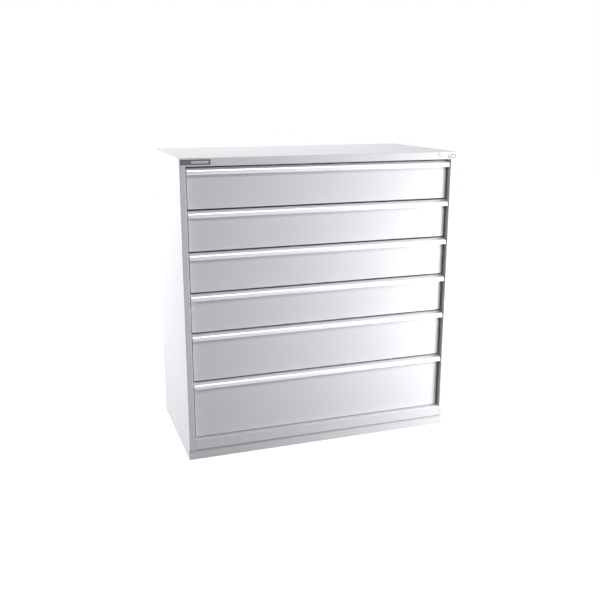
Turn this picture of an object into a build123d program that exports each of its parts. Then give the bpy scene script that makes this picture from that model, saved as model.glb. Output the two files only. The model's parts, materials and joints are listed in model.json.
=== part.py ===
"""Extra-wide steel drawer cabinet on a recessed plinth.

Six full-extension drawers run on roller carriages inside a folded-sheet case, and one key lock
in the top rail moves a locking bar that holds every drawer shut.

Millimetres. +X is to the right, +Y to the back and +Z up. The origin is on the floor, under the
middle of the case.
"""

import os
from math import cos, radians, sin

from build123d import *

os.makedirs("parts", exist_ok=True)

# ---- Driving dimensions ----------------------------------------------------------------------

# Case
width = 1435.0
depth = 724.0
case_sheet = 1.5              # sides, back, floor and rails
top_sheet = 2.0
bend_radius = 3.0             # outside radius of the case's folds
post_face = 29.5              # width of the front post beside the opening
jamb_depth = 36.0             # how far posts and rails return into the opening
hem = 12.0
back_flange = 24.0
top_rail_face = 38.5
bottom_rail_face = 55.0
plinth_height = 59.0
plinth_recess = 18.0          # plinth's front behind the case's front
plinth_sheet = 3.0
plinth_flange = 30.0

# Drawer stack, from the top
drawer_pitches = [201.5, 201.5, 201.5, 201.5, 251.0, 298.5]
top_gap = 5.5                 # top rail to the first handle
drawer_gap = 5.5              # one front to the handle below it
bottom_gap = 3.0              # last front to the bottom rail

# Drawer fronts and handles
front_recess = 26.0           # drawer front behind the case's front
front_return_end = 40.0       # back edge of the folded drawer front, behind the case's front
front_sheet = 1.5
front_radius = 4.0
front_side_gap = 8.0
handle_side_gap = 4.0
handle_wall = 2.2
handle_flange = 33.0          # height of the handle's fixing flange
handle_bend = (6.0, -11.5)    # (behind the case front, below the handle's top)
handle_nose = (2.5, -32.5)
handle_lip = (8.5, -34.5)
handle_cap = 3.0
handle_corner_radius = 2.5    # over the fixing flange
handle_bend_radius = 12.0
handle_nose_radius = 3.0
label_thickness = 0.5
label_height = 12.0
label_place = 0.55            # strip's middle, as a share of the way from bend to nose

# Drawer boxes
box_sheet = 1.2
box_wall_gap = 38.0           # box side to the case opening, where the slides run
box_back_gap = 31.5           # box to the back panel
box_lift = 4.0                # box floor above the front's lower edge
box_drop = 36.0               # box rim below the handle's top

# Roller slides
rail_centre_height = 45.0     # above the box floor
rail_half_height = 19.0
rail_flange = 14.0
rail_sheet = 2.0
rail_inset = 5.0              # box end to rail end
runner_flange = 20.0
runner_start = 40.0           # behind the case's front
runner_back_gap = 31.0
runner_overlap = 3.0          # runner past the edge of the opening
roller_clearance = 0.3
roller_side_clearance = 1.0
roller_width = 10.0
outer_roller_width = 16.0
roller_bore_clearance = 0.05
pin_radius = 3.0
carriage_bar = 4.0
carriage_height = 30.0
carriage_start = 46.0         # behind the case's front, closed
carriage_back_gap = 55.0
inner_roller_places = (34.0, 214.0)    # from the carriage's front end
outer_roller_places = (26.0, 246.0)    # from its back end

# Slotted uprights
upright_depth = 30.0
upright_sheet = 2.0
front_upright_place = 44.0    # behind the case's front
rear_upright_gap = 41.0       # rear upright to the back panel
slot_pitch = 50.0
slot_width = 10.0
slot_height = 20.0

# Lock and locking bar
lock_centre_x = 630.0
lock_drop = 20.0              # lock centre below the case's top
bezel_radius = 15.5
bezel_thickness = 2.0
barrel_radius = 11.0
barrel_length = 34.0
barrel_fit = 0.2
plug_radius = 8.0
plug_fit = 0.05
plug_proud = 0.5
keyway_width = 2.0
keyway_height = 9.0
keyway_depth = 20.0
nut_across_flats = 27.0
nut_thickness = 4.0
cam_arm = 10.0
cam_thickness = 3.0
cam_gap = 1.0                 # cam behind the top rail's hem
cam_rim = 2.0
cam_angle = 45.0              # above level when the lock is open
cam_pin_radius = 3.0
cam_pin_length = 6.0
cam_pin_clearance = 0.5
bar_width = 12.0
bar_thickness = 3.0
bar_gap = 0.5                 # bar behind the cam
bar_to_post = 6.0             # bar inside the post's opening edge
foot_height = 13.0
foot_rim = 3.0
bar_tail = 20.0
hook_reach = 18.0
hook_height = 14.0
catch_rise = 30.0             # catch above the slide's centre
catch_height = 20.0
catch_thickness = 3.0
catch_reach = 34.0
catch_gap = 0.5
hook_lift = 2.0               # hook above the catch when the lock is open
guide_wall = 1.5
guide_clearance = 0.3
guide_height = 20.0
guide_drop = 60.0             # guide below a hook

# Nameplate and lock label
nameplate_size = (140.0, 23.5, 1.0)
nameplate_inset = 7.5         # from the case's left edge
nameplate_drop = 19.0         # centre below the case's top
label_plate_size = (57.0, 24.0, 0.6)
label_plate_inset = 3.0       # from the case's right edge
label_plate_drop = 22.5
plate_border = 1.5
plate_relief = 0.3

# Back panel rivets
rivet_radius = 4.0
rivet_height = 1.5
rivet_shank_radius = 1.8
rivet_pitch = 170.0
rivet_end_margin = 60.0

# ---- Places worked out from the dimensions ---------------------------------------------------

front = -depth / 2
back = depth / 2
half_width = width / 2
opening_half = half_width - post_face
opening_bottom = plinth_height + bottom_rail_face
stack_bottom = opening_bottom + bottom_gap - drawer_gap
stack_top = stack_bottom + sum(drawer_pitches)
opening_top = stack_top + top_gap
height = opening_top + top_rail_face
under_top = height - top_sheet
floor_top = plinth_height + case_sheet
side_inner = half_width - case_sheet
back_inner = back - 2 * case_sheet      # inner face of the back panel

drawer_tops = [stack_top - sum(drawer_pitches[:i]) for i in range(len(drawer_pitches))]
drawer_bottoms = [top - pitch + drawer_gap for top, pitch in zip(drawer_tops, drawer_pitches)]

box_half = opening_half - box_wall_gap
box_front = front + front_recess + front_sheet      # the box stands against the front's inside
rail_face = box_half                    # inner slide rail against the box
box_length = back_inner - box_back_gap - box_front
rail_edge = rail_face + rail_flange
bar_inner = rail_edge + roller_side_clearance
bar_outer = bar_inner + carriage_bar
runner_web = opening_half + runner_overlap
runner_length = back_inner - runner_back_gap - front - runner_start
carriage_front = front + carriage_start
carriage_back = back_inner - carriage_back_gap
inner_rollers = [carriage_front + place for place in inner_roller_places]
outer_rollers = [carriage_back - place for place in outer_roller_places]
front_upright = front + front_upright_place
rear_upright = back_inner - rear_upright_gap - upright_depth
roller_radius = rail_half_height - rail_sheet - roller_clearance
slide_heights = [bottom + box_lift + rail_centre_height for bottom in drawer_bottoms]

lock_height = height - lock_drop
lock_centre = (lock_centre_x, lock_height)
bar_x = opening_half + bar_to_post      # inner edge of the locking bar
cam_front = front + jamb_depth + cam_gap
bar_front = cam_front + cam_thickness + bar_gap
hook_heights = [z + catch_rise + catch_height + hook_lift for z in slide_heights]
cam_pin_x = lock_centre_x + cam_arm * cos(radians(cam_angle))
cam_pin_z = lock_height + cam_arm * sin(radians(cam_angle))
cam_pin = (cam_pin_x, cam_pin_z)


def write(piece, name):
    """Label a finished piece and write its STEP file."""
    piece.label = name
    export_step(piece, f"parts/{name}.step")


def front_plane(y):
    """Plane at a depth y, seen from the front with X to the right and Z up."""
    return Plane.XZ.offset(-y)


def folded_sheet(plane, points, radii, thickness, side, length):
    """Sheet folded along an open outline on a plane and drawn out along the plane's normal."""
    with BuildPart() as sheet:
        with BuildSketch(plane):
            with BuildLine():
                FilletPolyline(*points, radius=radii)
                offset(amount=thickness, side=side, closed=True)
            make_face()
        extrude(amount=length)
    return sheet.part


# ---- Case ------------------------------------------------------------------------------------

# A side is one folded sheet: post hem, jamb, post face, side and back flange
side_outline = [
    (opening_half + hem, front + jamb_depth),
    (opening_half, front + jamb_depth),
    (opening_half, front),
    (half_width, front),
    (half_width, back),
    (half_width - back_flange, back),
]
side_radii = [case_sheet + 0.5, bend_radius, bend_radius, bend_radius]
side_sheet = folded_sheet(
    Plane.XY.offset(plinth_height),
    side_outline,
    side_radii,
    case_sheet,
    Side.LEFT,
    under_top - plinth_height,
)

with BuildPart() as side_panel_right:
    add(side_sheet)
write(side_panel_right.part, "side_panel_right")

with BuildPart() as side_panel_left:
    add(mirror(side_sheet, about=Plane.YZ, mode=Mode.PRIVATE))
write(side_panel_left.part, "side_panel_left")

with BuildPart() as top_panel:
    with BuildSketch(Plane.XY.offset(under_top)):
        RectangleRounded(width, depth, bend_radius)
    extrude(amount=top_sheet)
    fillet(top_panel.faces().sort_by(Axis.Z)[-1].edges(), radius=top_sheet * 0.7)
write(top_panel.part, "top_panel")

# Top rail: face, return under it and a stiffening hem, with the hole for the lock
top_rail_outline = [
    (front, under_top),
    (front, opening_top),
    (front + jamb_depth, opening_top),
    (front + jamb_depth, opening_top + hem),
]
top_rail_sheet = folded_sheet(
    Plane.YZ.offset(-opening_half),
    top_rail_outline,
    [bend_radius, bend_radius],
    case_sheet,
    Side.LEFT,
    2 * opening_half,
)
with BuildPart() as top_rail:
    add(top_rail_sheet)
    # The lock's hole goes through the face and notches the hem behind it
    with BuildSketch(front_plane(front)):
        with Locations(lock_centre):
            Circle(barrel_radius + barrel_fit)
    extrude(amount=-(jamb_depth + case_sheet), mode=Mode.SUBTRACT)
write(top_rail.part, "top_rail")

bottom_rail_outline = [
    (front + jamb_depth, plinth_height),
    (front, plinth_height),
    (front, opening_bottom),
    (front + jamb_depth, opening_bottom),
    (front + jamb_depth, opening_bottom - hem),
]
bottom_rail_sheet = folded_sheet(
    Plane.YZ.offset(-opening_half),
    bottom_rail_outline,
    [bend_radius, bend_radius, bend_radius],
    case_sheet,
    Side.RIGHT,
    2 * opening_half,
)
with BuildPart() as bottom_rail:
    add(bottom_rail_sheet)
write(bottom_rail.part, "bottom_rail")

with BuildPart() as floor_panel:
    with BuildSketch(Plane.XY.offset(plinth_height)):
        with Locations((0, (front + jamb_depth + back_inner) / 2)):
            Rectangle(2 * side_inner, back_inner - front - jamb_depth)
    extrude(amount=case_sheet)
write(floor_panel.part, "floor_panel")

# The back panel lies against the inside of the sides' flanges
with BuildPart() as back_panel:
    with BuildSketch(Plane.XY.offset(plinth_height)):
        with Locations((0, back_inner + case_sheet / 2)):
            Rectangle(2 * (side_inner - bend_radius), case_sheet)
    extrude(amount=under_top - plinth_height)
write(back_panel.part, "back_panel")

# Blind rivets through both back flanges, heads outside
rivet_count = int((under_top - plinth_height - 2 * rivet_end_margin) / rivet_pitch) + 1
rivet_span = under_top - plinth_height - 2 * rivet_end_margin
rivet_plane = Plane(
    origin=(0, back, (plinth_height + under_top) / 2), x_dir=(-1, 0, 0), z_dir=(0, 1, 0)
)
rivet_spacing = 2 * (half_width - back_flange / 2)
with BuildPart() as back_panel_rivets:
    with BuildSketch(rivet_plane):
        with GridLocations(rivet_spacing, rivet_span / (rivet_count - 1), 2, rivet_count):
            Circle(rivet_radius)
    extrude(amount=rivet_height)
    fillet(back_panel_rivets.faces().filter_by(Axis.Y).group_by(Axis.Y)[-1].edges(), radius=rivet_height * 0.8)
write(back_panel_rivets.part, "back_panel_rivets")

# Plinth: walls that stand on the floor, with a flange turned in under the case
plinth_depth = depth - plinth_recess
plinth_middle = front + plinth_recess + plinth_depth / 2
with BuildPart() as base_plinth:
    with BuildSketch():
        with Locations((0, plinth_middle)):
            RectangleRounded(width, plinth_depth, bend_radius)
    extrude(amount=plinth_height)
    with BuildSketch():
        with Locations((0, plinth_middle)):
            Rectangle(width - 2 * plinth_sheet, plinth_depth - 2 * plinth_sheet)
    extrude(amount=plinth_height - plinth_sheet, mode=Mode.SUBTRACT)
    with BuildSketch():
        with Locations((0, plinth_middle)):
            Rectangle(width - 2 * plinth_flange, plinth_depth - 2 * plinth_flange)
    extrude(amount=plinth_height, mode=Mode.SUBTRACT)
write(base_plinth.part, "base_plinth")

# ---- Uprights and fixed runners --------------------------------------------------------------


def upright(face_y):
    """Slotted channel on the right side, its web towards the drawers."""
    outline = [
        (side_inner, face_y),
        (runner_web, face_y),
        (runner_web, face_y + upright_depth),
        (side_inner, face_y + upright_depth),
    ]
    channel = folded_sheet(
        Plane.XY.offset(floor_top),
        outline,
        [bend_radius, bend_radius],
        upright_sheet,
        Side.RIGHT,
        under_top - floor_top,
    )
    slot_count = int((under_top - floor_top) / slot_pitch)
    web_plane = Plane(
        origin=(runner_web, face_y + upright_depth / 2, (under_top + floor_top) / 2),
        x_dir=(0, 1, 0),
        z_dir=(1, 0, 0),
    )
    with BuildPart() as post:
        add(channel)
        with BuildSketch(web_plane):
            with GridLocations(slot_pitch, slot_pitch, 1, slot_count):
                Rectangle(slot_width, slot_height)
        extrude(amount=upright_sheet, mode=Mode.SUBTRACT)
    return post.part


# Clips on the front upright that the locking bar slides in
guide_places = [(bar_x + bar_width / 2, z - guide_drop) for z in hook_heights[::2]]
guide_slot_width = bar_width + 2 * guide_clearance
guide_slot_depth = front_upright - bar_front + guide_clearance
with BuildPart() as bar_guides:
    with BuildSketch(front_plane(front_upright)):
        with Locations(*guide_places):
            Rectangle(guide_slot_width + 2 * guide_wall, guide_height)
    extrude(amount=guide_slot_depth + guide_wall)
    with BuildSketch(front_plane(front_upright)):
        with Locations(*guide_places):
            Rectangle(guide_slot_width, guide_height)
    extrude(amount=guide_slot_depth, mode=Mode.SUBTRACT)


def both_sides(piece):
    """Solids of a right-hand piece and its mirror image on the left."""
    return [*piece.solids(), *mirror(piece, about=Plane.YZ).solids()]


slotted_uprights = Compound(
    children=[
        *both_sides(upright(front_upright)),
        *both_sides(upright(rear_upright)),
        *bar_guides.part.solids(),
    ]
)
write(slotted_uprights, "slotted_uprights")


def channel(web_x, edge_x, start, length, centre_z):
    """Slide channel on the right side, open towards edge_x, its flanges above and below."""
    outline = [
        (edge_x, centre_z - rail_half_height),
        (web_x, centre_z - rail_half_height),
        (web_x, centre_z + rail_half_height),
        (edge_x, centre_z + rail_half_height),
    ]
    side = Side.RIGHT if edge_x > web_x else Side.LEFT
    radii = [rail_sheet + 0.5, rail_sheet + 0.5]
    return folded_sheet(front_plane(start), outline, radii, rail_sheet, side, -length)


fixed_runners = Compound(
    children=[
        solid
        for z in slide_heights
        for solid in both_sides(
            channel(runner_web, runner_web - runner_flange, front + runner_start, runner_length, z)
        )
    ]
)
write(fixed_runners, "fixed_runners")

# ---- Drawers ---------------------------------------------------------------------------------


def drawer_box(bottom, top, slide_z):
    """Open box of thin sheet, with the catch that the locking bar holds on its right side."""
    inner_half = box_half - box_sheet
    with BuildPart() as box:
        with BuildSketch(Plane.XY.offset(bottom)):
            with Locations((0, box_front + box_length / 2)):
                Rectangle(2 * box_half, box_length)
        extrude(amount=top - bottom)
        with BuildSketch(Plane.XY.offset(bottom + box_sheet)):
            with Locations((0, box_front + box_length / 2)):
                Rectangle(2 * inner_half, box_length - 2 * box_sheet)
        extrude(amount=top - bottom, mode=Mode.SUBTRACT)
        with BuildSketch(front_plane(bar_front + bar_thickness + catch_gap)):
            with Locations((box_half + catch_reach / 2, slide_z + catch_rise + catch_height / 2)):
                Rectangle(catch_reach, catch_height)
        extrude(amount=-catch_thickness)
    return box.part


def drawer_front(bottom, top):
    """Folded pan with rounded edges, open at the back, with the box standing in it."""
    half = opening_half - front_side_gap
    with BuildPart() as pan:
        with BuildSketch(front_plane(front + front_recess)):
            with Locations((0, (bottom + top) / 2)):
                Rectangle(2 * half, top - bottom)
        extrude(amount=-(front_return_end - front_recess))
        fillet(pan.faces().sort_by(Axis.Y)[0].edges(), radius=front_radius)
        offset(amount=-front_sheet, openings=pan.faces().sort_by(Axis.Y)[-1])
    return pan.part


def handle_points(top):
    """Outer outline of the handle, from its fixing flange over the top to the finger lip."""
    return [
        (front + front_recess, top - handle_flange),
        (front + front_recess, top),
        (front + handle_bend[0], top + handle_bend[1]),
        (front + handle_nose[0], top + handle_nose[1]),
        (front + handle_lip[0], top + handle_lip[1]),
    ]


handle_half = opening_half - handle_side_gap
handle_radii = [handle_corner_radius, handle_bend_radius, handle_nose_radius]


def handle(top):
    """Full-width extruded finger pull."""
    return folded_sheet(
        Plane.YZ.offset(-handle_half + handle_cap),
        handle_points(top),
        handle_radii,
        handle_wall,
        Side.RIGHT,
        2 * (handle_half - handle_cap),
    )


def end_cap(top):
    """Moulded cap that closes the right end of a handle."""
    with BuildPart() as cap:
        with BuildSketch(Plane.YZ.offset(handle_half - handle_cap)):
            with BuildLine():
                outline = FilletPolyline(*handle_points(top), radius=handle_radii)
                Line(outline @ 1, outline @ 0)
            make_face()
        extrude(amount=handle_cap)
    return cap.part


def label_strip(top):
    """Clear strip on the handle's sloping face."""
    bend = Vector(0, front + handle_bend[0], top + handle_bend[1])
    nose = Vector(0, front + handle_nose[0], top + handle_nose[1])
    down = (nose - bend).normalized()
    outward = Vector(0, down.Z, -down.Y)
    middle = bend + (nose - bend) * label_place
    face_plane = Plane(origin=middle, x_dir=(1, 0, 0), z_dir=outward)
    with BuildPart() as strip:
        with BuildSketch(face_plane):
            Rectangle(2 * (handle_half - handle_cap), label_height)
        extrude(amount=label_thickness)
    return strip.part


def slide_rail(slide_z):
    """Channel on the drawer's side that the carriage's inner rollers run in."""
    length = box_length - 2 * rail_inset
    return channel(rail_face, rail_edge, box_front + rail_inset, length, slide_z)


def roller(y, slide_z, start_x, length):
    """Roller about an axis along X."""
    plane = Plane(origin=(start_x, y, slide_z), x_dir=(0, 1, 0), z_dir=(1, 0, 0))
    with BuildPart() as wheel:
        with BuildSketch(plane):
            Circle(roller_radius)
            Circle(pin_radius + roller_bore_clearance, mode=Mode.SUBTRACT)
        extrude(amount=length)
    return wheel.part


def carriage(slide_z):
    """Bar with four roller pins, and its rollers: inner ones on the drawer, outer ones on the case."""
    inner_start = bar_inner - roller_side_clearance / 2 - roller_width
    outer_start = bar_outer + roller_side_clearance / 2
    bar_plane = Plane(origin=(bar_inner, 0, slide_z), x_dir=(0, 1, 0), z_dir=(1, 0, 0))
    with BuildPart() as bar:
        with BuildSketch(bar_plane):
            with Locations(((carriage_front + carriage_back) / 2, 0)):
                SlotOverall(carriage_back - carriage_front, carriage_height)
        extrude(amount=carriage_bar)
        with BuildSketch(bar_plane):
            with Locations(*[(y, 0) for y in inner_rollers]):
                Circle(pin_radius)
        extrude(amount=-(roller_width + roller_side_clearance / 2))
        with BuildSketch(bar_plane.offset(carriage_bar)):
            with Locations(*[(y, 0) for y in outer_rollers]):
                Circle(pin_radius)
        extrude(amount=outer_roller_width + roller_side_clearance / 2)
    rollers = [roller(y, slide_z, inner_start, roller_width) for y in inner_rollers]
    rollers += [roller(y, slide_z, outer_start, outer_roller_width) for y in outer_rollers]
    return Compound(children=[*bar.part.solids(), *[wheel.solids()[0] for wheel in rollers]])


for number, (bottom, top, slide_z) in enumerate(
    zip(drawer_bottoms, drawer_tops, slide_heights), start=1
):
    write(drawer_box(bottom + box_lift, top - box_drop, slide_z), f"drawer_{number}_box")
    write(drawer_front(bottom, top - front_sheet), f"drawer_{number}_front")
    write(handle(top), f"drawer_{number}_handle")
    write(label_strip(top), f"drawer_{number}_label_strip")
    write(Compound(children=both_sides(end_cap(top))), f"drawer_{number}_end_caps")
    write(Compound(children=both_sides(slide_rail(slide_z))), f"drawer_{number}_rails")
    write(Compound(children=both_sides(carriage(slide_z))), f"carriage_{number}")

# ---- Lock ------------------------------------------------------------------------------------

bezel_front = front - bezel_thickness

with BuildPart() as lock_barrel:
    with BuildSketch(front_plane(bezel_front)):
        with Locations(lock_centre):
            Circle(bezel_radius)
    extrude(amount=-bezel_thickness)
    fillet(lock_barrel.faces().sort_by(Axis.Y)[0].edges(), radius=bezel_thickness * 0.6)
    with BuildSketch(front_plane(front)):
        with Locations(lock_centre):
            Circle(barrel_radius)
    extrude(amount=-barrel_length)
    with BuildSketch(front_plane(bezel_front)):
        with Locations(lock_centre):
            Circle(plug_radius + plug_fit)
    extrude(amount=-(bezel_thickness + barrel_length), mode=Mode.SUBTRACT)
write(lock_barrel.part, "lock_barrel")

with BuildPart() as lock_nut:
    with BuildSketch(front_plane(front + case_sheet)):
        with Locations(lock_centre):
            RegularPolygon(nut_across_flats / 2, 6, major_radius=False)
            Circle(barrel_radius + barrel_fit, mode=Mode.SUBTRACT)
    extrude(amount=-nut_thickness)
write(lock_nut.part, "lock_nut")

plug_front = bezel_front - plug_proud
with BuildPart() as lock_plug:
    with BuildSketch(front_plane(plug_front)):
        with Locations(lock_centre):
            Circle(plug_radius)
    extrude(amount=-(cam_front - plug_front))
    with BuildSketch(front_plane(plug_front)):
        with Locations(lock_centre):
            Rectangle(keyway_width, keyway_height)
    extrude(amount=-keyway_depth, mode=Mode.SUBTRACT)
write(lock_plug.part, "lock_plug")

with BuildPart() as lock_cam:
    with BuildSketch(front_plane(cam_front)):
        with Locations(lock_centre):
            Circle(plug_radius)
        with Locations(cam_pin):
            Circle(cam_pin_radius + cam_rim)
        make_hull()
    extrude(amount=-cam_thickness)
    with BuildSketch(front_plane(cam_front + cam_thickness)):
        with Locations(cam_pin):
            Circle(cam_pin_radius)
    extrude(amount=-cam_pin_length)
write(lock_cam.part, "lock_cam")

# Locking bar: a strip behind the right post, a foot over the cam's pin and a hook for each drawer
pin_room = cam_pin_radius + cam_pin_clearance
foot_slot_left = cam_pin_x - pin_room
foot_slot_right = lock_centre_x + cam_arm + pin_room
foot_left = foot_slot_left - foot_rim
bar_top = cam_pin_z + foot_height / 2
bar_bottom = hook_heights[-1] - bar_tail
with BuildPart() as locking_bar:
    with BuildSketch(front_plane(bar_front)):
        with Locations((bar_x + bar_width / 2, (bar_top + bar_bottom) / 2)):
            Rectangle(bar_width, bar_top - bar_bottom)
        with Locations(((foot_left + bar_x) / 2, cam_pin_z)):
            Rectangle(bar_x - foot_left, foot_height)
        with Locations(*[(bar_x - hook_reach / 2, z + hook_height / 2) for z in hook_heights]):
            Rectangle(hook_reach, hook_height)
        with Locations(((foot_slot_left + foot_slot_right) / 2, cam_pin_z)):
            Rectangle(foot_slot_right - foot_slot_left, 2 * pin_room, mode=Mode.SUBTRACT)
    extrude(amount=-bar_thickness)
write(locking_bar.part, "locking_bar")

# ---- Nameplate and lock label ----------------------------------------------------------------


def plate(centre, size, border, relief):
    """Thin plate on the case's front with a raised border."""
    plate_width, plate_height, thickness = size
    with BuildPart() as body:
        with BuildSketch(front_plane(front)):
            with Locations(centre):
                Rectangle(plate_width, plate_height)
        extrude(amount=thickness)
        with BuildSketch(front_plane(front - thickness + relief)):
            with Locations(centre):
                Rectangle(plate_width - 2 * border, plate_height - 2 * border)
        extrude(amount=relief, mode=Mode.SUBTRACT)
    return body.part


nameplate_x = -half_width + nameplate_inset + nameplate_size[0] / 2
nameplate_centre = (nameplate_x, height - nameplate_drop)
write(plate(nameplate_centre, nameplate_size, plate_border, plate_relief), "nameplate")

label_x = half_width - label_plate_inset - label_plate_size[0] / 2
label_centre = (label_x, height - label_plate_drop)
write(plate(label_centre, label_plate_size, plate_border, plate_relief), "lock_label")
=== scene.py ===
"""Extra-wide steel drawer cabinet, finished and set on a white studio floor.

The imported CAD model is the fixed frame. Its visible sheet and extruded parts are copied here with
eased edges and smooth bends, the rest get finishes only, and the plates' printing and the drawer
boxes' pressed ribs and rivets are made to its sizes. Laid out as an add-on, run as a script.
"""

import json
import math

import bmesh
import bpy
from mathutils import Matrix, Vector

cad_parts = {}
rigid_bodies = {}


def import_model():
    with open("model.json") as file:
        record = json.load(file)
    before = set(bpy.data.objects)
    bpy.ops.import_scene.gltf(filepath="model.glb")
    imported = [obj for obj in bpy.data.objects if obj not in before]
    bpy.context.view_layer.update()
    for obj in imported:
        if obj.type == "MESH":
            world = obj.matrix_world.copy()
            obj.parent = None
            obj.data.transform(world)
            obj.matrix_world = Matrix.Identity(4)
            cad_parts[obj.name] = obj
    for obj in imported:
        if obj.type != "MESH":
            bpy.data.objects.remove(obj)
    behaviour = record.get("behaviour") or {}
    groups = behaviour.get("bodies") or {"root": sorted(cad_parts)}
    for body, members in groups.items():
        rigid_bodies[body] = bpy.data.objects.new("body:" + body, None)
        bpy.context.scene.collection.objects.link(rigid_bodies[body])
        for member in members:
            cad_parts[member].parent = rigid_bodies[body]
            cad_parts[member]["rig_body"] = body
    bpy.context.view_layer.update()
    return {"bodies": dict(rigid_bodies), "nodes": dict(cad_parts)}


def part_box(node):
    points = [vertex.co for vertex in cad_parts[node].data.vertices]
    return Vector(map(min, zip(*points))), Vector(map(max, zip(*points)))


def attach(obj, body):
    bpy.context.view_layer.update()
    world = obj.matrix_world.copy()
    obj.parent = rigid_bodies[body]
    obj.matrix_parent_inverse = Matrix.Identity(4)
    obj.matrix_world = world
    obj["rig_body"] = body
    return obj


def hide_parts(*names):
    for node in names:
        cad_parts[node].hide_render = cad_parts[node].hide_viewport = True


bl_info = {
    "name": "Drawer Cabinet",
    "version": (1, 0, 0),
    "blender": (4, 5, 0),
    "location": "3D Viewport > Sidebar > Cabinet",
    "description": "Finishes, plates, pressed ribs and a studio for a steel drawer cabinet",
    "category": "Object",
}

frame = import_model()
MM = 0.001
DRAWERS = sorted(body for body in frame["bodies"] if body.startswith("drawer_"))
WELD = 0.001 * MM                 # vertices nearer than this are one
FLAT = math.radians(0.5)          # faces within this angle are one flat face
CORNER = math.radians(32)         # edges sharper than this are corners, not bends
DIE_LINES = (2.0, 900.0, 900.0)   # waves per metre along X, Y and Z
BRUSH_LINES = (30.0, 3000.0, 3000.0)
RIVET_RISE = 1.8                  # height of a rivet's head, as a share of a rib's
FRAME_FACE = 0.3                  # depths below a plate's face, as shares of its thickness
FIELD_FACE = 0.15
CARD_FACE = 0.4
BAR_SIZE = (0.58, 0.19)           # nameplate's bars, as shares of its width and height
BAR_PLACE = (0.14, 0.13)          # right of its middle, and above and below it
MARKS = ((0.22, 0.47, False), (0.52, 0.98, True))    # label's boxes: both ends, and if it is closed


def linear(code):
    """Linear RGB of an sRGB hex code."""
    channels = [int(code[i:i + 2], 16) / 255 for i in (1, 3, 5)]
    return [c / 12.92 if c <= 0.04045 else ((c + 0.055) / 1.055) ** 2.4 for c in channels]


# ---- Settings --------------------------------------------------------------------------------


def colour(name, description, code):
    """Colour property with its default given as sRGB hex."""
    return bpy.props.FloatVectorProperty(
        name=name, description=description, default=linear(code), size=3, subtype="COLOR", min=0, max=1
    )


def size(name, description, default):
    """Length property in metres."""
    return bpy.props.FloatProperty(
        name=name, description=description, default=default, min=0, subtype="DISTANCE", unit="LENGTH"
    )


class CabinetColours(bpy.types.PropertyGroup):
    """Colours of the cabinet's finishes."""

    paint: colour("Paint", "Powder coat on case and drawers", "#D2D2D6")
    handle: colour("Handle", "Anodised handle extrusion", "#E9E9EB")
    strip: colour("Label strip", "Paper strip under its clear cover", "#F2F2F4")
    cap: colour("End cap", "Moulded caps at the handles' ends", "#D9D9DC")
    zinc: colour("Zinc", "Plated slides, uprights and lock parts", "#B9BCC1")
    roller: colour("Roller", "Turned slide rollers", "#A3A6AA")
    chrome: colour("Chrome", "Lock bezel and plug", "#E6E7E9")
    plate: colour("Nameplate", "Brushed nameplate", "#77777B")
    print: colour("Print", "Dark border and marks on the plates", "#26262A")
    plate_bars: colour("Plate bars", "Pale bars on the nameplate", "#D2D2D6")
    label: colour("Lock label", "Label beside the lock", "#E2E2E4")
    floor: colour("Floor", "Studio floor", "#8C8C8E")


class CabinetSizes(bpy.types.PropertyGroup):
    """Sizes of the pieces made here."""

    eased_edge: size("Eased edge", "Width of the break on sheet and extruded edges", 0.35 * MM)
    rib_pitch: size("Rib pitch", "Spacing of the ribs that hold the drawers' dividers", 17 * MM)
    rib_width: size("Rib width", "Width of a pressed rib", 6 * MM)
    rib_proud: size("Rib height", "How far a pressed rib stands off its wall", 1.1 * MM)
    rib_margin: size("Rib margin", "Plain wall left at each end of a rib", 16 * MM)
    rivet_pitch: size("Rivet pitch", "Spacing of the rivets that hold a slide rail", 72 * MM)
    rivet_radius: size("Rivet radius", "Radius of a rivet's domed head", 4 * MM)
    box_sheet: size("Box sheet", "Sheet of the drawer boxes", 1.2 * MM)
    plate_corner: size("Plate corner", "Corner radius of the plates", 1.5 * MM)
    plate_border: size("Plate border", "Width of the nameplate's dark border", 2.6 * MM)
    mark_line: size("Mark line", "Line of the lock label's marks", 2.8 * MM)
    peel: size("Orange peel", "Spacing of the powder coat's ripple", 2.5 * MM)


# ---- Materials -------------------------------------------------------------------------------


def add_node(tree, kind, settings=None, links=None):
    """Add one shader node, set its properties or sockets by name, and link its inputs."""
    node = tree.nodes.new(kind)
    for key, value in (settings or {}).items():
        if isinstance(key, int) or key in node.inputs:
            node.inputs[key].default_value = value
        else:
            setattr(node, key, value)
    for key, source in (links or {}).items():
        tree.links.new(source, node.inputs[key])
    return node


def new_material(name):
    """Empty material, with its Object coordinates and its output ready."""
    material = bpy.data.materials.new(name)
    material.use_nodes = True
    tree = material.node_tree
    tree.nodes.clear()
    place = add_node(tree, "ShaderNodeTexCoord").outputs["Object"]
    return material, tree, place


def finish(tree, shader):
    """Link a shader to the material's output."""
    add_node(tree, "ShaderNodeOutputMaterial", None, {"Surface": shader.outputs[0]})


def noise(tree, place, scale, detail):
    """Noise value at a place, with the scale in waves per metre."""
    settings = {"Scale": scale, "Detail": detail}
    return add_node(tree, "ShaderNodeTexNoise", settings, {"Vector": place}).outputs["Fac"]


def between(tree, value, low, high):
    """Value from 0 to 1 mapped onto a range."""
    settings = {"To Min": low, "To Max": high}
    return add_node(tree, "ShaderNodeMapRange", settings, {"Value": value}).outputs["Result"]


def stretched(tree, place, scale):
    """Coordinates scaled unevenly, for lines that run along X."""
    return add_node(tree, "ShaderNodeMapping", {"Scale": scale}, {"Vector": place}).outputs["Vector"]


def shaded(tree, tint, shade):
    """Colour darkened by a shade."""
    settings = {"data_type": "RGBA", "blend_type": "MULTIPLY", "Factor": 1.0, 6: (*tint, 1)}
    return add_node(tree, "ShaderNodeMix", settings, {7: shade}).outputs[2]


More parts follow.
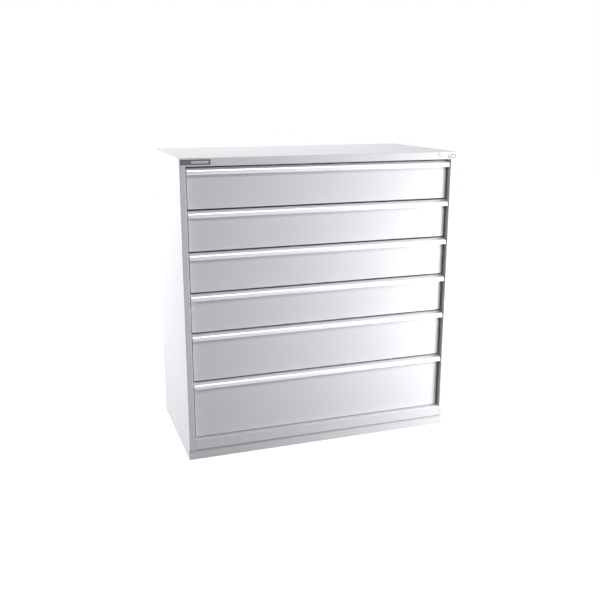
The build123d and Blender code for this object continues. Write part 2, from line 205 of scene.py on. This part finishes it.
def relief(tree, height, strength, distance):
    """Normal bent by a height."""
    settings = {"Strength": strength, "Distance": distance}
    return add_node(tree, "ShaderNodeBump", settings, {"Height": height}).outputs["Normal"]


def principled(tree, settings, links):
    """Principled shader linked to the material's output."""
    finish(tree, add_node(tree, "ShaderNodeBsdfPrincipled", settings, links))


def powder_coat(name, tint, ripple):
    """Epoxy-polyester powder coat, sprayed and oven cured on sheet steel.

    It flows out into a shallow ripple a few millimetres wide, which breaks up its satin gloss, and
    its film varies a little in thickness over each panel.
    """
    material, tree, place = new_material(name)
    film = noise(tree, place, 3.0, 3.0)
    peel = noise(tree, place, 1 / ripple, 2.0)
    links = {
        "Base Color": shaded(tree, tint, between(tree, film, 0.97, 1.0)),
        "Roughness": between(tree, peel, 0.4, 0.5),
        "Normal": relief(tree, peel, 0.12, 0.05 * MM),
    }
    principled(tree, {"IOR": 1.5}, links)
    return material


def anodised_aluminium(name, tint):
    """Aluminium extrusion, satin etched and clear anodised.

    Die lines run along it, so its gloss is drawn out across them and shows as fine streaks.
    """
    material, tree, place = new_material(name)
    lines = noise(tree, stretched(tree, place, DIE_LINES), 1.0, 4.0)
    links = {
        "Roughness": between(tree, lines, 0.34, 0.48),
        "Normal": relief(tree, lines, 0.1, 0.03 * MM),
    }
    principled(tree, {"Base Color": (*tint, 1), "Metallic": 1.0}, links)
    return material


def covered_paper(name, tint):
    """Paper strip under a clear extruded PVC cover: a soft white under a hard gloss."""
    material, tree, place = new_material(name)
    fibre = noise(tree, place, 700.0, 3.0)
    settings = {"Roughness": 0.6, "Coat Weight": 0.7, "Coat Roughness": 0.12, "IOR": 1.5}
    principled(tree, settings, {"Base Color": shaded(tree, tint, between(tree, fibre, 0.95, 1.0))})
    return material


def moulded_abs(name, tint):
    """Injection-moulded ABS with a fine spark-eroded texture, so it is matt."""
    material, tree, place = new_material(name)
    grain = noise(tree, place, 1500.0, 2.0)
    links = {
        "Roughness": between(tree, grain, 0.5, 0.62),
        "Normal": relief(tree, grain, 0.15, 0.04 * MM),
    }
    principled(tree, {"Base Color": (*tint, 1), "IOR": 1.54}, links)
    return material


def zinc_plate(name, tint, spangle):
    """Bright zinc plate on rolled or turned steel: a soft metal sheen with cloudy patches."""
    material, tree, place = new_material(name)
    cloud = noise(tree, place, 1 / spangle, 4.0)
    links = {
        "Base Color": shaded(tree, tint, between(tree, cloud, 0.86, 1.0)),
        "Roughness": between(tree, cloud, 0.3, 0.45),
    }
    principled(tree, {"Metallic": 1.0}, links)
    return material


def satin_chrome(name, tint):
    """Chrome plate on a fine-blasted die casting: a bright, soft sheen with a little haze."""
    material, tree, place = new_material(name)
    haze = noise(tree, place, 260.0, 3.0)
    settings = {"Base Color": (*tint, 1), "Metallic": 1.0}
    principled(tree, settings, {"Roughness": between(tree, haze, 0.13, 0.22)})
    return material


def brushed_plate(name, tint):
    """Thin aluminium plate, brushed along its length and lacquered."""
    material, tree, place = new_material(name)
    lines = noise(tree, stretched(tree, place, BRUSH_LINES), 1.0, 3.0)
    settings = {"Metallic": 0.7, "Roughness": 0.45}
    principled(tree, settings, {"Base Color": shaded(tree, tint, between(tree, lines, 0.85, 1.0))})
    return material


def screen_ink(name, tint):
    """Screen-printed ink: a thin, slightly uneven film with a low gloss."""
    material, tree, place = new_material(name)
    film = noise(tree, place, 900.0, 2.0)
    principled(tree, {"Base Color": (*tint, 1)}, {"Roughness": between(tree, film, 0.45, 0.6)})
    return material


def dress(nodes, material):
    """Give CAD nodes one material in every slot."""
    for name in nodes:
        mesh = frame["nodes"][name].data
        if not mesh.materials:
            mesh.materials.append(material)
        for index in range(len(mesh.materials)):
            mesh.materials[index] = material


# ---- Pieces ----------------------------------------------------------------------------------


def rounded_plate(bm, centre, width, height, back, front, corner, steps=4):
    """Add a flat plate with round corners to a mesh, facing -Y, between two depths."""
    outline = []
    for number, (sign_x, sign_z) in enumerate(((1, 1), (-1, 1), (-1, -1), (1, -1))):
        for step in range(steps + 1):
            turn = math.pi / 2 * (number + step / steps)
            x = centre.x + sign_x * (width / 2 - corner) + corner * math.cos(turn)
            z = centre.z + sign_z * (height / 2 - corner) + corner * math.sin(turn)
            outline.append((x, z))
    rings = [[bm.verts.new((x, y, z)) for x, z in outline] for y in (front, back)]
    bm.faces.new(rings[0])
    bm.faces.new(reversed(rings[1]))
    for i in range(len(outline)):
        j = (i + 1) % len(outline)
        bm.faces.new((rings[0][j], rings[0][i], rings[1][i], rings[1][j]))


def piece_from(bm, name, material, body):
    """Turn a bmesh into a piece that rides on a body."""
    bmesh.ops.recalc_face_normals(bm, faces=bm.faces)
    mesh = bpy.data.meshes.new(name)
    bm.to_mesh(mesh)
    bm.free()
    mesh.materials.append(material)
    piece = bpy.data.objects.new(name, mesh)
    bpy.context.scene.collection.objects.link(piece)
    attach(piece, body)
    return piece


def plain_mesh(piece):
    """Make what a piece's modifiers give its own mesh, and take the modifiers off."""
    bpy.context.view_layer.update()
    evaluated = piece.evaluated_get(bpy.context.evaluated_depsgraph_get())
    mesh = bpy.data.meshes.new_from_object(evaluated)
    if not mesh.polygons:
        raise RuntimeError(f"{piece.name} came out empty")
    piece.modifiers.clear()
    piece.data = mesh
    mesh.name = piece.name


def finished_copy(node, material, edge=0.0):
    """Merged copy of a CAD node, with eased edges and smooth bends, that stands for the node."""
    source = frame["nodes"][node]
    bm = bmesh.new()
    bm.from_mesh(source.data)
    bmesh.ops.remove_doubles(bm, verts=bm.verts, dist=WELD)
    bmesh.ops.dissolve_limit(bm, angle_limit=FLAT, verts=bm.verts, edges=bm.edges)
    mesh = bpy.data.meshes.new(f"{node}_finished")
    bm.to_mesh(mesh)
    bm.free()
    carried = mesh.attributes.get("custom_normal")
    if carried:
        mesh.attributes.remove(carried)
    mesh.materials.append(material)
    mesh.shade_smooth()
    mesh.set_sharp_from_angle(angle=CORNER)
    piece = bpy.data.objects.new(f"{node}_finished", mesh)
    bpy.context.scene.collection.objects.link(piece)
    if edge:
        bevel = piece.modifiers.new("eased_edges", "BEVEL")
        bevel.width = edge
        bevel.segments = 2
        bevel.limit_method = "ANGLE"
        bevel.angle_limit = CORNER
    weights = piece.modifiers.new("flat_faces_lead", "WEIGHTED_NORMAL")
    weights.keep_sharp = True
    plain_mesh(piece)
    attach(piece, source["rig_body"])
    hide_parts(node)


def new_tree(name, inputs):
    """Geometry node tree with its inputs and its group nodes; inputs are (name, kind) pairs."""
    tree = bpy.data.node_groups.new(name, "GeometryNodeTree")
    tree.is_modifier = True
    for label, kind in inputs:
        tree.interface.new_socket(label, in_out="INPUT", socket_type=f"NodeSocket{kind}")
    tree.interface.new_socket("Geometry", in_out="OUTPUT", socket_type="NodeSocketGeometry")
    return tree, add_node(tree, "NodeGroupInput").outputs


def end_tree(tree, instances, material):
    """Realize the instances, set their material and link them to the output."""
    real = add_node(tree, "GeometryNodeRealizeInstances", None, {"Geometry": instances})
    painted = add_node(
        tree,
        "GeometryNodeSetMaterial",
        None,
        {"Geometry": real.outputs["Geometry"], "Material": material},
    )
    add_node(tree, "NodeGroupOutput", None, {"Geometry": painted.outputs["Geometry"]})


def rib_tree():
    """Upright half-round ribs along all four walls of an open box, about the box's middle."""
    tree, given = new_tree(
        "pressed_ribs",
        (
            ("Inside", "Vector"),
            ("Run", "Vector"),
            ("Side Count", "Int"),
            ("End Count", "Int"),
            ("Middle", "Vector"),
            ("Section", "Vector"),
            ("Height", "Float"),
            ("Material", "Material"),
        ),
    )
    inside = add_node(tree, "ShaderNodeSeparateXYZ", None, {"Vector": given["Inside"]})
    run = add_node(tree, "ShaderNodeSeparateXYZ", None, {"Vector": given["Run"]})
    top = add_node(tree, "ShaderNodeCombineXYZ", None, {"Z": given["Height"]})
    spine = add_node(tree, "GeometryNodeCurvePrimitiveLine", None, {"End": top.outputs["Vector"]})
    ring = add_node(tree, "GeometryNodeCurvePrimitiveCircle", {"Resolution": 10, "Radius": 1.0})
    oval = add_node(
        tree,
        "GeometryNodeTransform",
        None,
        {"Geometry": ring.outputs["Curve"], "Scale": given["Section"]},
    )
    rib = add_node(
        tree,
        "GeometryNodeCurveToMesh",
        {"Fill Caps": True},
        {"Curve": spine.outputs["Curve"], "Profile Curve": oval.outputs["Geometry"]},
    )
    rows = add_node(tree, "GeometryNodeJoinGeometry")
    layouts = (
        (inside.outputs["X"], run.outputs["Y"], None, given["Side Count"], 0.0),
        (run.outputs["X"], inside.outputs["Y"], given["End Count"], None, math.pi / 2),
    )
    for size_x, size_y, count_x, count_y, turn in layouts:
        counts = {"Vertices X": 2} if count_x is None else {"Vertices Y": 2}
        links = {"Size X": size_x, "Size Y": size_y}
        if count_x is None:
            links["Vertices Y"] = count_y
        else:
            links["Vertices X"] = count_x
        grid = add_node(tree, "GeometryNodeMeshGrid", counts, links)
        placed = add_node(
            tree,
            "GeometryNodeInstanceOnPoints",
            {"Rotation": (0.0, 0.0, turn)},
            {"Points": grid.outputs["Mesh"], "Instance": rib.outputs["Mesh"]},
        )
        tree.links.new(placed.outputs["Instances"], rows.inputs["Geometry"])
    moved = add_node(
        tree,
        "GeometryNodeTransform",
        None,
        {"Geometry": rows.outputs["Geometry"], "Translation": given["Middle"]},
    )
    end_tree(tree, moved.outputs["Geometry"], given["Material"])
    return tree


def rivet_tree():
    """A row of domed rivet heads on each side wall of a box, about the row's middle."""
    tree, given = new_tree(
        "rivet_rows",
        (
            ("Inside Width", "Float"),
            ("Run", "Float"),
            ("Count", "Int"),
            ("Middle", "Vector"),
            ("Dome", "Vector"),
            ("Material", "Material"),
        ),
    )
    grid = add_node(
        tree,
        "GeometryNodeMeshGrid",
        {"Vertices X": 2},
        {"Size X": given["Inside Width"], "Size Y": given["Run"], "Vertices Y": given["Count"]},
    )
    ball = add_node(tree, "GeometryNodeMeshUVSphere", {"Segments": 14, "Rings": 8, "Radius": 1.0})
    dome = add_node(
        tree,
        "GeometryNodeTransform",
        None,
        {"Geometry": ball.outputs["Mesh"], "Scale": given["Dome"]},
    )
    smooth = add_node(
        tree, "GeometryNodeSetShadeSmooth", None, {"Geometry": dome.outputs["Geometry"]}
    )
    placed = add_node(
        tree,
        "GeometryNodeInstanceOnPoints",
        None,
        {"Points": grid.outputs["Mesh"], "Instance": smooth.outputs["Geometry"]},
    )
    moved = add_node(
        tree,
        "GeometryNodeTransform",
        None,
        {"Geometry": placed.outputs["Instances"], "Translation": given["Middle"]},
    )
    end_tree(tree, moved.outputs["Geometry"], given["Material"])
    return tree


def grown_piece(name, tree, values, body):
    """Piece made by a geometry node tree, with its inputs set by name through their identifiers."""
    piece = bpy.data.objects.new(name, bpy.data.meshes.new(name))
    bpy.context.scene.collection.objects.link(piece)
    modifier = piece.modifiers.new(tree.name, "NODES")
    modifier.node_group = tree
    for socket in tree.interface.items_tree:
        if socket.in_out == "INPUT":
            modifier[socket.identifier] = values[socket.name]
    plain_mesh(piece)
    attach(piece, body)


class CABINET_OT_case(bpy.types.Operator):
    """Paint the case, its plinth and its rivets"""

    bl_idname = "cabinet.case"
    bl_label = "Case"

    def execute(self, context):
        scene = context.scene
        sizes = scene.cabinet_sizes
        paint = powder_coat("case_powder_coat", scene.cabinet_colours.paint, sizes.peel)
        outside = ["side_panel_left", "side_panel_right", "top_panel", "top_rail", "bottom_rail"]
        for node in outside + ["base_plinth", "back_panel"]:
            finished_copy(node, paint, sizes.eased_edge)
        finished_copy("back_panel_rivets", paint)
        dress(["floor_panel"], paint)
        return {"FINISHED"}


class CABINET_OT_drawers(bpy.types.Operator):
    """Paint the drawer fronts and boxes, and press ribs and set rivets in the boxes"""

    bl_idname = "cabinet.drawers"
    bl_label = "Drawers"

    def execute(self, context):
        scene = context.scene
        sizes = scene.cabinet_sizes
        paint = powder_coat("drawer_powder_coat", scene.cabinet_colours.paint, sizes.peel)
        zinc = zinc_plate("zinc_plated_rivet", scene.cabinet_colours.zinc, 5 * MM)
        ribs, rivets = rib_tree(), rivet_tree()
        for drawer in DRAWERS:
            finished_copy(f"{drawer}_front", paint, sizes.eased_edge)
            dress([f"{drawer}_box"], paint)
            self.ribs(drawer, ribs, sizes, paint)
            self.rivets(drawer, rivets, sizes, zinc)
        return {"FINISHED"}

    def inside(self, drawer, sizes):
        """Middle of a box's floor, and its inside width, length and height."""
        low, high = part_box(f"{drawer}_box")
        half = -low.x                     # the catch on the right side reaches past the box
        floor = Vector((0, (low.y + high.y) / 2, low.z + sizes.box_sheet))
        sheet = Vector((1, 1, 1)) * sizes.box_sheet
        room = Vector((half, (high.y - low.y) / 2, high.z - low.z)) - sheet
        return floor, Vector((2 * room.x, 2 * room.y, room.z))

    def ribs(self, drawer, tree, sizes, paint):
        """Ribs on all four walls, between which the drawer's dividers stand."""
        floor, room = self.inside(drawer, sizes)
        spaces = [int((room[i] - 2 * sizes.rib_margin) / sizes.rib_pitch) for i in (0, 1)]
        values = {
            "Inside": room,
            "Run": (spaces[0] * sizes.rib_pitch, spaces[1] * sizes.rib_pitch, 0.0),
            "Side Count": spaces[1] + 1,
            "End Count": spaces[0] + 1,
            "Middle": floor + Vector((0, 0, sizes.rib_margin)),
            "Section": (sizes.rib_proud, sizes.rib_width / 2, 1.0),
            "Height": room.z - 2 * sizes.rib_margin,
            "Material": paint,
        }
        grown_piece(f"{drawer}_ribs", tree, values, drawer)

    def rivets(self, drawer, tree, sizes, zinc):
        """Rivet heads inside the side walls, along each slide rail."""
        floor, room = self.inside(drawer, sizes)
        low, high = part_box(f"{drawer}_rails")
        spaces = int((high.y - low.y - 2 * sizes.rib_margin) / sizes.rivet_pitch)
        values = {
            "Inside Width": room.x,
            "Run": spaces * sizes.rivet_pitch,
            "Count": spaces + 1,
            "Middle": (0.0, floor.y, (low.z + high.z) / 2),
            "Dome": (RIVET_RISE * sizes.rib_proud, sizes.rivet_radius, sizes.rivet_radius),
            "Material": zinc,
        }
        grown_piece(f"{drawer}_rail_rivets", tree, values, drawer)


class CABINET_OT_handles(bpy.types.Operator):
    """Finish the handles, their end caps and their label strips"""

    bl_idname = "cabinet.handles"
    bl_label = "Handles"

    def execute(self, context):
        colours = context.scene.cabinet_colours
        edge = context.scene.cabinet_sizes.eased_edge
        finishes = {
            "handle": anodised_aluminium("satin_anodised_aluminium", colours.handle),
            "end_caps": moulded_abs("moulded_abs_cap", colours.cap),
            "label_strip": covered_paper("covered_paper_strip", colours.strip),
        }
        for drawer in DRAWERS:
            for part, material in finishes.items():
                finished_copy(f"{drawer}_{part}", material, 0.0 if part == "label_strip" else edge)
        return {"FINISHED"}


class CABINET_OT_slides(bpy.types.Operator):
    """Finish the uprights, runners, rails and roller carriages"""

    bl_idname = "cabinet.slides"
    bl_label = "Slides"

    def execute(self, context):
        colours = context.scene.cabinet_colours
        rolled = zinc_plate("zinc_plated_sheet", colours.zinc, 20 * MM)
        turned = zinc_plate("turned_roller_steel", colours.roller, 6 * MM)
        dress(["slotted_uprights", "fixed_runners"], rolled)
        for drawer in DRAWERS:
            finished_copy(f"{drawer}_rails", rolled)
        for node in sorted(frame["nodes"]):
            if node.startswith("carriage_"):
                finished_copy(node, turned)
        return {"FINISHED"}


class CABINET_OT_lock(bpy.types.Operator):
    """Finish the lock and its linkage"""

    bl_idname = "cabinet.lock"
    bl_label = "Lock"

    def execute(self, context):
        colours = context.scene.cabinet_colours
        chrome = satin_chrome("satin_chrome", colours.chrome)
        for node in ("lock_barrel", "lock_plug"):
            finished_copy(node, chrome)
        dress(
            ["lock_nut", "lock_cam", "locking_bar"],
            zinc_plate("zinc_plated_lock_parts", colours.zinc, 10 * MM),
        )
        return {"FINISHED"}


class CABINET_OT_plates(bpy.types.Operator):
    """Make the nameplate and the label beside the lock, with no lettering on either"""

    bl_idname = "cabinet.plates"
    bl_label = "Plates"

    def execute(self, context):
        colours = context.scene.cabinet_colours
        sizes = context.scene.cabinet_sizes
        ink = screen_ink("dark_screen_ink", colours.print)
        pale = screen_ink("pale_screen_ink", colours.plate_bars)
        self.nameplate(colours, sizes, ink, pale)
        self.lock_label(colours, sizes, ink)
        return {"FINISHED"}

    def nameplate(self, colours, sizes, ink, pale):
        """Brushed plate in a dark frame, with two plain bars."""
        low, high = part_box("nameplate")
        centre = (low + high) / 2
        width, depth, height = high - low
        border = sizes.plate_border
        bm = bmesh.new()
        rounded_plate(bm, centre, width, height, high.y, low.y + depth * FRAME_FACE, sizes.plate_corner)
        rim = piece_from(bm, "nameplate_frame", ink, "cabinet")
        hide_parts("nameplate")
        bm = bmesh.new()
        inner = (width - 2 * border, height - 2 * border)
        back, face = low.y + depth * FRAME_FACE, low.y + depth * FIELD_FACE
        rounded_plate(bm, centre, *inner, back, face, sizes.plate_corner)
        brushed = brushed_plate("brushed_nameplate", colours.plate)
        piece_from(bm, "nameplate_field", brushed, "cabinet")
        bm = bmesh.new()
        for side in (-1, 1):
            right, up = width * BAR_PLACE[0], side * height * BAR_PLACE[1]
            bar = (width * BAR_SIZE[0], height * BAR_SIZE[1])
            spot = Vector((centre.x + right, 0, centre.z + up))
            rounded_plate(bm, spot, *bar, face, low.y, height * 0.05)
        piece_from(bm, "nameplate_bars", pale, "cabinet")

    def lock_label(self, colours, sizes, ink):
        """Pale label with a box left open for unlocked and a closed box for locked."""
        low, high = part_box("lock_label")
        centre = (low + high) / 2
        width, depth, height = high - low
        bm = bmesh.new()
        face = low.y + depth * CARD_FACE
        rounded_plate(bm, centre, width, height, high.y, face, sizes.plate_corner)
        card = moulded_abs("label_plastic", colours.label)
        base = piece_from(bm, "lock_label_plate", card, "cabinet")
        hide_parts("lock_label")
        bm = bmesh.new()
        line = sizes.mark_line
        mark = height - 2 * line
        for left, right, closed in MARKS:
            across = (right - left) * width
            spot = Vector((low.x + (left + right) / 2 * width, 0, centre.z))
            bars = [
                (Vector((side * (across - line) / 2, 0, 0)), line, mark) for side in (-1, 1)
            ]
            bars.append((Vector((0, 0, -(mark - line) / 2)), across - 2 * line, line))
            if closed:
                bars.append((Vector((0, 0, (mark - line) / 2)), across - 2 * line, line))
            for offset, wide, high_bar in bars:
                rounded_plate(bm, spot + offset, wide, high_bar, face, low.y, line * 0.1)
        piece_from(bm, "lock_label_marks", ink, "cabinet")


class CABINET_OT_stage(bpy.types.Operator):
    """Set the floor, the soft lights and the camera"""

    bl_idname = "cabinet.stage"
    bl_label = "Stage"

    def execute(self, context):
        scene = context.scene
        scene.view_settings.view_transform = "Standard"
        self.floor(scene)
        self.surround(scene)
        self.lights(scene)
        self.camera(scene)
        return {"FINISHED"}

    def by_ray(self, tree, fill, gloss, seen):
        """Brightness that differs for the light given off, for reflections and for the camera."""
        rays = add_node(tree, "ShaderNodeLightPath").outputs
        level = between(tree, rays["Is Glossy Ray"], fill, gloss)
        settings = {"operation": "MULTIPLY_ADD", 1: seen - fill}
        links = {0: rays["Is Camera Ray"], 2: level}
        return add_node(tree, "ShaderNodeMath", settings, links).outputs["Value"]

    def floor(self, scene):
        """Pale floor, lit from within as the surround is, so that the two meet in one white."""
        reach = 9.0
        mesh = bpy.data.meshes.new("studio_floor")
        corners = [(-reach, -reach, 0), (reach, -reach, 0), (reach, reach, 0), (-reach, reach, 0)]
        mesh.from_pydata(corners, [], [(0, 1, 2, 3)])
        floor = bpy.data.objects.new("studio_floor", mesh)
        scene.collection.objects.link(floor)
        material, tree, place = new_material("pale_floor")
        soft = noise(tree, place, 0.5, 2.0)
        glow = self.by_ray(tree, 0.0, 0.25, 1.0)
        settings = {
            "Base Color": (*scene.cabinet_colours.floor, 1),
            "Specular IOR Level": 0.0,
            "Emission Color": (1, 1, 1, 1),
        }
        rough = between(tree, soft, 0.85, 0.95)
        principled(tree, settings, {"Roughness": rough, "Emission Strength": glow})
        mesh.materials.append(material)

    def surround(self, scene):
        """White surround: full white to the eye, bright in gloss, and a low fill on the paint."""
        world = bpy.data.worlds.new("white_surround")
        scene.world = world
        world.use_nodes = True
        tree = world.node_tree
        tree.nodes.clear()
        strength = self.by_ray(tree, 0.08, 0.85, 1.0)
        sky = add_node(
            tree, "ShaderNodeBackground", {"Color": (1, 1, 1, 1)}, {"Strength": strength}
        )
        add_node(tree, "ShaderNodeOutputWorld", None, {"Surface": sky.outputs[0]})

    def lights(self, scene):
        """Soft lights: behind the left side, low at the front right, high in front and overhead."""
        lights = {
            "side_light": ((-3.4, 1.1, 1.9), (-0.7, 0.0, 1.0), (2.0, 2.0), 172.0),
            "front_light": ((1.9, -1.5, 0.75), (0.2, -0.36, 0.65), (0.8, 1.2), 66.0),
            "high_light": ((0.6, -3.4, 3.6), (0.0, -0.36, 0.5), (1.4, 1.0), 52.0),
            "top_light": ((0.1, 0.9, 3.6), (0.0, 0.1, 1.5), (2.2, 1.8), 50.0),
        }
        for name, (place, target, (wide, high), power) in lights.items():
            data = bpy.data.lights.new(name, "AREA")
            data.shape = "RECTANGLE"
            data.size = wide
            data.size_y = high
            data.energy = power
            light = bpy.data.objects.new(name, data)
            aim = (Vector(target) - Vector(place)).to_track_quat("-Z", "Y")
            light.matrix_world = Matrix.Translation(place) @ aim.to_matrix().to_4x4()
            light.visible_camera = False
            scene.collection.objects.link(light)

    def camera(self, scene):
        """Eye-height view of the front and left side, turned and tipped from straight on."""
        spot = (-1.3675, -3.9448, 1.7905)
        turn, tip = 0.332, 0.257
        data = bpy.data.cameras.new("camera")
        data.lens = 46.77
        data.sensor_width = 36.0
        data.clip_end = 200.0
        camera = bpy.data.objects.new("camera", data)
        level = Matrix.Rotation(math.pi / 2 - tip, 4, "X")
        camera.matrix_world = Matrix.Translation(spot) @ Matrix.Rotation(-turn, 4, "Z") @ level
        scene.collection.objects.link(camera)
        scene.camera = camera


OPERATORS = (
    CABINET_OT_stage,
    CABINET_OT_case,
    CABINET_OT_drawers,
    CABINET_OT_handles,
    CABINET_OT_slides,
    CABINET_OT_lock,
    CABINET_OT_plates,
)


class CABINET_PT_panel(bpy.types.Panel):
    """Cabinet pieces and their settings"""

    bl_idname = "CABINET_PT_panel"
    bl_label = "Drawer Cabinet"
    bl_space_type = "VIEW_3D"
    bl_region_type = "UI"
    bl_category = "Cabinet"

    def draw(self, context):
        for operator in OPERATORS:
            self.layout.operator(operator.bl_idname)
        for group in (context.scene.cabinet_colours, context.scene.cabinet_sizes):
            for name in group.__annotations__:
                self.layout.prop(group, name)


CLASSES = (CabinetColours, CabinetSizes, *OPERATORS, CABINET_PT_panel)


def register():
    for item in CLASSES:
        bpy.utils.register_class(item)
    bpy.types.Scene.cabinet_colours = bpy.props.PointerProperty(type=CabinetColours)
    bpy.types.Scene.cabinet_sizes = bpy.props.PointerProperty(type=CabinetSizes)


def unregister():
    del bpy.types.Scene.cabinet_sizes
    del bpy.types.Scene.cabinet_colours
    for item in reversed(CLASSES):
        bpy.utils.unregister_class(item)


def main():
    register()
    for operator in OPERATORS:
        group, name = operator.bl_idname.split(".")
        getattr(getattr(bpy.ops, group), name)()
    bpy.context.view_layer.update()


if __name__ == "__main__":
    main()
